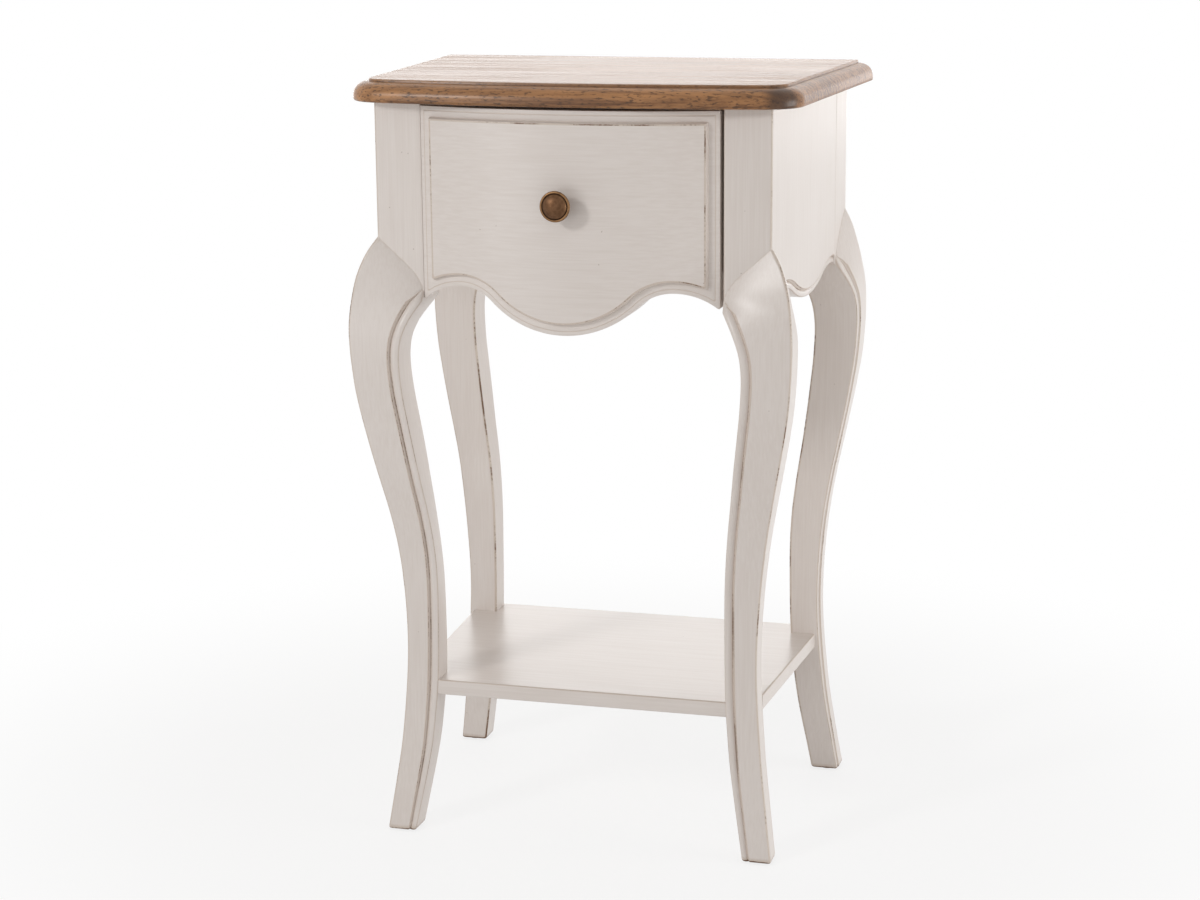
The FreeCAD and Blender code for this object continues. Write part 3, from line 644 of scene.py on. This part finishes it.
FRONT_SWEEPS = (SIDE_SWEEP, FRONT_SWEEP, FRONT_TAPER)
REAR_SWEEPS = (REAR_SIDE_SWEEP, BACK_SWEEP, REAR_TAPER)

for leg_side in ("left", "right"):
    front_edges = (BEAD, POST_EDGES[leg_side])
    make_leg("front", leg_side, POST_FRONT, -1, FRONT_SWEEPS, FRONT_BEAD_TOP, front_edges)
    make_leg("rear", leg_side, POST_REAR, 1, REAR_SWEEPS, REAR_BEAD_TOP, (ARRIS, ARRIS))


# Scalloped edges

# A lobe between two hills, in arcs; turn_share is a hill's part of the two arcs' radii
Scallop = namedtuple("Scallop", "half peak turn_share lobe_depth end_drop peak_height")


def scallop(place, edge, inset=0.0):
    """Height of a scalloped edge, a lobe between two hills, moved into the panel by an inset."""
    half, peak, turn_share, lobe_depth, end_drop, peak_height = edge
    total = (peak ** 2 + lobe_depth ** 2) / (2 * lobe_depth)
    hill = total * turn_share + inset
    lobe = total - hill
    end = ((half - peak) ** 2 + end_drop ** 2) / (2 * end_drop) + inset
    place = abs(place)
    if place < peak * lobe / total:
        return peak_height - lobe_depth + inset + lobe - math.sqrt(lobe ** 2 - place ** 2)
    radius = hill if place < peak else end
    return peak_height + inset - radius + math.sqrt(radius ** 2 - (place - peak) ** 2)


DRAWER_HALF = 144.6
DRAWER_TOP = 726.0
DRAWER_BACK = -110.5
DRAWER_BOW = 24.0
DRAWER_EDGE = Scallop(
    half=DRAWER_HALF, peak=102.2, turn_share=0.3, lobe_depth=41.7, end_drop=16.5, peak_height=557.8)
DRAWER_SIT = -1.36  # a little left of the middle
DRAWER_STEPS = 97
DRAWER_CORNER = 2.5

# Border of the drawer's front: distance from its ends, height over the bow, rubbing
DRAWER_BORDER = (
    (0, -0.8, 0.2), (0.12, -0.55, 0.25), (0.5, -0.45, 0.1), (1.8, -0.42, 0), (3.4, -0.4, 0.1),
    (3.9, -0.6, 0.85), (4.3, -0.55, 0.7), (4.8, -0.2, 0), (7.6, -0.3, 0), (9.2, -0.6, 0.05),
    (10, -0.8, 0.3), (10.4, -0.4, 0.65), (10.7, 1.6, 0.3), (10.9, 4, 0.25), (11.3, 4.7, 0.8),
    (11.9, 5, 0.95), (12.6, 5, 0.9), (13.3, 5, 0.15), (15.5, 5, 0),
)


def drawer_bow(x):
    radius = (DRAWER_HALF ** 2 + DRAWER_BOW ** 2) / (2 * DRAWER_BOW)
    return POST_FRONT - DRAWER_BOW + radius - math.sqrt(radius ** 2 - x ** 2)


def drawer_outline(inset):
    """Scalloped lower edge with rounded ends, then the straight upper edge."""
    half = DRAWER_HALF - inset
    places = [half * math.sin(turn) for turn in spread(-math.pi / 2, math.pi / 2, DRAWER_STEPS)]
    lower = []
    for x in places:
        past = max(0, abs(x) - half + DRAWER_CORNER)
        lift = DRAWER_CORNER - math.sqrt(DRAWER_CORNER ** 2 - past ** 2)
        lower.append((x, scallop(x, DRAWER_EDGE, inset) + lift))
    return lower + [(x, DRAWER_TOP - inset) for x in reversed(places)]


def make_drawer_front():
    """The bowed front: a raised field inside a moulded border, bare behind."""
    rows = [[((x + DRAWER_SIT, DRAWER_BACK, z), 0) for x, z in drawer_outline(0)]]
    for inset, height, rubbing in DRAWER_BORDER:
        outline = drawer_outline(inset)
        rows.append([((x + DRAWER_SIT, drawer_bow(x) - height, z), rubbing) for x, z in outline])
    shape, field = extruded_skin(rows)
    for lower, upper in list(zip(field[:DRAWER_STEPS], reversed(field[DRAWER_STEPS:])))[1:-1]:
        bmesh.ops.connect_verts(shape, verts=[lower, upper])
    for face in shape.faces:
        face.material_index = int(face.calc_center_median().y > DRAWER_BACK - MM)
    finishes = [paint_across, timber_across]
    finish_piece(
        shape, "drawer_front_moulded", "drawer", ["drawer_front"], finishes,
        sharp=DRAWER_CREASE)


make_drawer_front()


# Side panels

APRON_FRONT = POST_FRONT + POST_WIDTH
APRON_REAR = POST_REAR - POST_WIDTH
APRON_MIDDLE = (APRON_FRONT + APRON_REAR) / 2
APRON_HALF = (APRON_REAR - APRON_FRONT) / 2
APRON_PEAK_SHARE = 0.92
APRON_EDGE = Scallop(
    half=APRON_HALF, peak=APRON_PEAK_SHARE * APRON_HALF, turn_share=0.4, lobe_depth=19.5,
    end_drop=1.0, peak_height=552.5)
APRON_TILT = 2.0
APRON_BEAD_SHARE = 0.82
APRON_SETBACK = 0.3
APRON_THICKNESS = 16.0
APRON_RINGS = 97


def apron_edge(place, inset=0.0):
    return scallop(place, APRON_EDGE, inset * APRON_BEAD_SHARE) - APRON_TILT * place / APRON_HALF


def apron_ring(place):
    """Section of a side panel: its back, the beaded lower edge and the flat field up to the top."""
    y = APRON_MIDDLE + place
    face = outer_x(y) - APRON_SETBACK
    back = face - APRON_THICKNESS
    ring = [((back, y, UNDER_TOP), 0), ((back, y, apron_edge(place)), 0)]
    ring += [((face + height, y, apron_edge(place, along)), rubbing)
             for along, height, rubbing in BEAD]
    return ring + [((face, y, UNDER_TOP), 0)]


def make_apron(side):
    places = spread(-APRON_HALF, APRON_HALF, APRON_RINGS)
    shape, _ = extruded_skin([apron_ring(place) for place in places])
    name = f"side_apron_{side}"
    finish_piece(shape, name + "_beaded", "case", [name], [paint_upright], side == "left")


for apron_side in ("left", "right"):
    make_apron(apron_side)


# Top

TOP_FRONT_OVERHANG = 10.5
TOP_BACK_OVERHANG = 4.0
TOP_OVERHANG = 25.0
TOP_FRONT = POST_FRONT - TOP_FRONT_OVERHANG
TOP_BACK = POST_REAR + TOP_BACK_OVERHANG
TOP_BOW = 20.0
TOP_CORNER = 38.0
TOP_HALF = outer_x(TOP_FRONT) + TOP_OVERHANG
BOW_RADIUS = (TOP_HALF ** 2 + TOP_BOW ** 2) / (2 * TOP_BOW)
BOW_CENTRE = Vector((0, TOP_FRONT - TOP_BOW + BOW_RADIUS))
SIDE_SLOPE = math.atan(FLARE)
SIDE_NORMAL = Vector((math.cos(SIDE_SLOPE), -math.sin(SIDE_SLOPE)))
SIDE_RUN = Vector((math.sin(SIDE_SLOPE), math.cos(SIDE_SLOPE)))
SIDE_REACH = SIDE_NORMAL.dot(Vector((TOP_HALF, TOP_FRONT)))
CORNER_STEPS = 15
FRONT_STEPS = 49

# The moulding from its lower edge to the flat: distance in, height, darkening
TOP_MOULDING = (
    (2.4, 729, 0.3), (1, 729.5, 0.1), (0.25, 730.5, 0), (0, 732, 0), (0, 734, 0), (0.3, 736.6, 0),
    (1.1, 739.2, 0), (2.4, 741.5, 0), (4.3, 743.6, 0), (6.8, 745.3, 0), (9.8, 746.5, 0),
    (12.8, 747.1, 0), (14.4, 747.3, 0.05), (14.85, 747.2, 0.8), (15.1, 748.9, 0.45),
    (15.5, 749.75, 0.15), (16.3, 750, 0), (18, 750, 0),
)


def corner_centre():
    """Centre of the rounded front corner: it touches the bowed front and the splayed side."""
    foot = SIDE_NORMAL * (SIDE_REACH - TOP_CORNER) - BOW_CENTRE
    along = foot.dot(SIDE_RUN)
    reach = BOW_RADIUS - TOP_CORNER
    step = -along - math.sqrt(along ** 2 - foot.length_squared + reach ** 2)
    return foot + BOW_CENTRE + SIDE_RUN * step


def top_outline(inset):
    centre = corner_centre()
    toward = centre - BOW_CENTRE
    start = math.atan2(toward.y, toward.x)
    bow = BOW_RADIUS - inset
    front = [BOW_CENTRE + Vector((math.cos(turn), math.sin(turn))) * bow
             for turn in spread(-math.pi - start, start, FRONT_STEPS)[1:-1]]
    corner = [centre + Vector((math.cos(turn), math.sin(turn))) * (TOP_CORNER - inset)
              for turn in spread(start, -SIDE_SLOPE, CORNER_STEPS)]
    back_x = (SIDE_REACH - inset - SIDE_NORMAL.y * TOP_BACK) / SIDE_NORMAL.x
    right = corner + [Vector((back_x, TOP_BACK))]
    return front + right + [Vector((-spot.x, spot.y)) for spot in reversed(right)]


def make_top():
    rows = []
    for inset, height, darkening in TOP_MOULDING:
        rows.append([((spot.x, spot.y, height), darkening) for spot in top_outline(inset)])
    shape, _ = extruded_skin(rows)
    finish_piece(
        shape, "top_board_moulded", "case", ["top_board"], [top_timber],
        sharp=TOP_CREASE)


make_top()


# Shelf

SHELF_FRONT_SETBACK = 15.0
SHELF_BACK_SETBACK = 10.0
SHELF_FRONT = POST_FRONT + SHELF_FRONT_SETBACK
SHELF_BACK = POST_REAR - SHELF_BACK_SETBACK
SHELF_SIDE = 17.5
SHELF_SEAT = 1.3
SHELF_BACK_SEAT = 4.5
SHELF_BACK_NOTCH = 42.3

# Corners of its outline that lie hidden in the notches, where nothing rubs
SHELF_NOTCHES = (1, 4, 7, 10)

# Edge of the shelf from below: distance in, height, rubbing
SHELF_STEPS = (
    (0.8, 140.5, 0), (0, 141.3, 0.3), (0, 142.5, 0), (0, 154, 0), (0.3, 155, 0.85),
    (1.2, 155.5, 0.6), (2.4, 155.5, 0),
)


def shelf_outline(inset):
    front_notch = APRON_FRONT - SHELF_SEAT
    back_notch = APRON_REAR + SHELF_BACK_SEAT
    inner = POST_WIDTH - SHELF_SEAT
    front = [(SHELF_FRONT, inner), (front_notch, inner), (front_notch, SHELF_SIDE)]
    back = [(back_notch, SHELF_SIDE), (back_notch, SHELF_BACK_NOTCH)]
    back.append((SHELF_BACK, SHELF_BACK_NOTCH))
    right = [(outer_x(y) - edge - inset, y + inset) for y, edge in front]
    right += [(outer_x(y) - edge - inset, y - inset) for y, edge in back]
    return right + [(-x, y) for x, y in reversed(right)]


def make_shelf():
    """A board notched round the legs, with softened and rubbed edges."""
    rows = []
    for inset, height, rubbing in SHELF_STEPS:
        row = []
        for index, (x, y) in enumerate(shelf_outline(inset)):
            row.append(((x, y, height), 0 if index in SHELF_NOTCHES else rubbing))
        rows.append(row)
    shape, _ = extruded_skin(rows)
    finish_piece(shape, "shelf_board", "case", ["shelf"], [paint_across])


make_shelf()


# Knob

KNOB_HEIGHT = 640.4
KNOB_FACE = POST_FRONT - DRAWER_BOW
KNOB_STEPS = 64
KNOB_MERGE = 0.01

# Turned line of the knob from its foot: radius, reach, brightness, which is below zero in the groove
KNOB_PROFILE = (
    (0, 5.2, 0), (7.2, 5.2, 0), (7.4, 5.8, 0.5), (7, 6.8, 0.3), (5.6, 7.8, 0), (5, 9.5, 0),
    (4.9, 12.5, 0), (5.6, 15.4, 0), (8.4, 18.2, 0), (12.6, 20, 0.1), (14.1, 21, 0.15),
    (14.5, 22, 0.2), (14.3, 22.9, 0.3), (13.7, 23.5, 0.45), (13, 23.6, 0.4), (12.4, 23.4, 0.1),
    (12.1, 22.9, -0.7), (11.8, 22.9, -0.7), (11.5, 23.5, 0), (10.8, 24.3, 0.1), (9.4, 25.5, 0),
    (6.8, 26.8, 0), (3.5, 27.7, 0), (0, 28, 0),
)


def make_knob():
    """A turned knob: foot, neck, bright rim, a dark groove and a low dome."""
    shape = bmesh.new()
    wear = shape.verts.layers.float.new("wear")
    line = []
    for radius, reach, bright in KNOB_PROFILE:
        vert = shape.verts.new((DRAWER_SIT + radius, KNOB_FACE - reach, KNOB_HEIGHT))
        vert[wear] = bright
        line.append(vert)
    for pair in zip(line, line[1:]):
        shape.edges.new(pair)
    bmesh.ops.spin(
        shape, geom=shape.verts[:] + shape.edges[:], cent=(DRAWER_SIT, 0, KNOB_HEIGHT),
        axis=(0, 1, 0), angle=2 * math.pi, steps=KNOB_STEPS, use_merge=True)
    bmesh.ops.remove_doubles(shape, verts=shape.verts, dist=KNOB_MERGE)
    finish_piece(
        shape, "knob_turned", "drawer", ["knob"], [knob_brass], sharp=KNOB_CREASE)


make_knob()


# Finishes of the plain pieces

PLAIN_FINISHES = {
    "back_panel": paint_across,
    "front_top_rail": timber_across,
    "drawer_rail": timber_across,
    "drawer_runner_left": timber_deep,
    "drawer_runner_right": timber_deep,
    "kicker_left": timber_deep,
    "kicker_right": timber_deep,
    "drawer_stops": timber_across,
    "frame_dowels": timber_deep,
    "shelf_dowels": timber_across,
    "top_screws": screw_steel,
    "foot_glides": glide_felt,
    "drawer_side_left": timber_deep,
    "drawer_side_right": timber_deep,
    "drawer_back": timber_across,
    "drawer_bottom": timber_deep,
    "drawer_dowels": timber_deep,
    "knob_screw": screw_steel,
}

for node_name, finish in PLAIN_FINISHES.items():
    node_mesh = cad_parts[node_name].data
    node_mesh.materials.clear()
    node_mesh.materials.append(finish)


# Floor, light and camera

WHITE = colour(1, 1, 1)
FLOOR_COLOUR = colour(0.9, 0.9, 0.9)
FLOOR_HALF = 6.0
FLOOR_DROP = 0.0004

# Distances from the table between which the floor turns plain white, and how white it is near by
SHADOW_FADES = (0.35, 1.0)
SHADOW_VEIL = 0.8


def make_floor():
    """A pale floor that keeps the shadow near the table and is plain white further off."""
    shape = bmesh.new()
    bmesh.ops.create_grid(shape, x_segments=1, y_segments=1, size=FLOOR_HALF)
    bmesh.ops.translate(shape, vec=(0, 0, -FLOOR_DROP), verts=shape.verts)
    mesh = bpy.data.meshes.new("floor")
    shape.to_mesh(mesh)
    shape.free()
    material, net = new_finish("pale_floor")
    plain = net.ramp(net.far_from((0, 0, 0)), *SHADOW_FADES, SHADOW_VEIL, 1.0)
    white = net.node("ShaderNodeEmission", None, {"Color": WHITE, "Strength": 1.0})
    matt = net.node("ShaderNodeBsdfDiffuse", None, {"Color": FLOOR_COLOUR})
    shader = net.node("ShaderNodeMixShader", None, {0: net.seen() * plain, 1: matt, 2: white})
    net.node("ShaderNodeOutputMaterial", None, {"Surface": shader})
    mesh.materials.append(material)
    floor = bpy.data.objects.new("floor", mesh)
    bpy.context.scene.collection.objects.link(floor)


ROOM_COLOUR = colour(1, 0.962, 0.925)
ROOM_LIGHT = 0.44


def make_world():
    """A soft warm room that the camera and reflections see as white."""
    world = bpy.data.worlds.new("studio")
    bpy.context.scene.world = world
    net = Net(world)
    room = net.node("ShaderNodeBackground", None, {"Color": ROOM_COLOUR, "Strength": ROOM_LIGHT})
    white = net.node("ShaderNodeBackground", None, {"Color": WHITE, "Strength": 1.0})
    shader = net.node("ShaderNodeMixShader", None, {0: net.seen(), 1: room, 2: white})
    net.node("ShaderNodeOutputWorld", None, {"Surface": shader})


# Where each lamp stands, what it points at, its width, its height and its power
LAMPS = {
    "key_lamp": ((-1.4, -2.15, 1.65), (0, 0, 0.5), 0.42, 0.42, 15.5),
    "low_lamp": ((-1.1, -1.9, 0.5), (0, 0, 0.5), 0.6, 0.6, 3),
    "right_lamp": ((2.4, -0.05, 0.55), (0, 0, 0.4), 1.2, 1.2, 20.3),
    "back_panel_lamp": ((-0.6, 2.8, 1.75), (-0.1, 0, 0.75), 4.0, 1.1, 7),
    "low_back_lamp": ((-0.6, 2.8, 0.7), (-0.1, 0, 0.15), 3.6, 0.7, 19),
}


def add_lamp(name, spot, target, width, height, power):
    lamp = bpy.data.lights.new(name, "AREA")
    lamp.shape = "RECTANGLE"
    lamp.size = width
    lamp.size_y = height
    lamp.energy = power
    holder = bpy.data.objects.new(name, lamp)
    holder.location = spot
    holder.rotation_euler = (Vector(target) - Vector(spot)).to_track_quat("-Z", "Y").to_euler()
    bpy.context.scene.collection.objects.link(holder)


CAMERA_TARGET = Vector((-0.00025, -0.0305, 0.3793))
CAMERA_AZIMUTH = math.radians(15.507)
CAMERA_PITCH = math.radians(13.037)
CAMERA_ROLL = math.radians(-0.485)
CAMERA_DISTANCE = 2.5558
CAMERA_LENS = 77.367
CAMERA_SENSOR = 36.0


def make_camera():
    data = bpy.data.cameras.new("photo_camera")
    data.lens = CAMERA_LENS
    data.sensor_width = CAMERA_SENSOR
    camera = bpy.data.objects.new("photo_camera", data)
    bpy.context.scene.collection.objects.link(camera)
    level = math.cos(CAMERA_PITCH)
    cosine = math.cos(CAMERA_AZIMUTH)
    sine = math.sin(CAMERA_AZIMUTH)
    right = Vector((cosine, sine, 0))
    back = Vector((sine * level, -cosine * level, math.sin(CAMERA_PITCH)))
    up = back.cross(right)
    rolled_right = right * math.cos(CAMERA_ROLL) + up * math.sin(CAMERA_ROLL)
    rolled_up = up * math.cos(CAMERA_ROLL) - right * math.sin(CAMERA_ROLL)
    turn = Matrix((rolled_right, rolled_up, back)).transposed()
    camera.matrix_world = Matrix.Translation(CAMERA_TARGET + back * CAMERA_DISTANCE) @ turn.to_4x4()
    bpy.context.scene.camera = camera


make_floor()
make_world()
for lamp_name, lamp_facts in LAMPS.items():
    add_lamp(lamp_name, *lamp_facts)
make_camera()
bpy.context.scene.view_settings.view_transform = "Standard"
